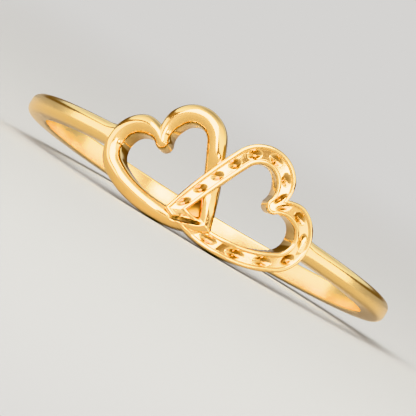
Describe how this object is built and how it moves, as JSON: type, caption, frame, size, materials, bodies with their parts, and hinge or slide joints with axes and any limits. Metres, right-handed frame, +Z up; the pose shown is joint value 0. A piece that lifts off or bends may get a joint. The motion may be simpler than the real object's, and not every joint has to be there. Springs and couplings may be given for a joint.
{
  "type": "heart ring",
  "caption": "Finger ring with a thin round-edged band and a pierced head of linked open hearts, one in smooth domed wire and one flat-topped with a row of scoops.",
  "frame": {"origin": "on the surface it lies on, under the centre of its bounding box", "axes": "+Z up, +Y from the linked hearts to the back of the band, +X to the right seen from the hearts' side, with the cut heart at +X and the plain heart at -X; the finger's axis leans from +Z towards +Y by the angle at which the ring rests"},
  "size_m": [0.0194, 0.0196, 0.0058],
  "materials": {
    "gold": "polished"
  },
  "bodies": {
    "root": {"ring": "gold"}
  },
  "joints": []
}
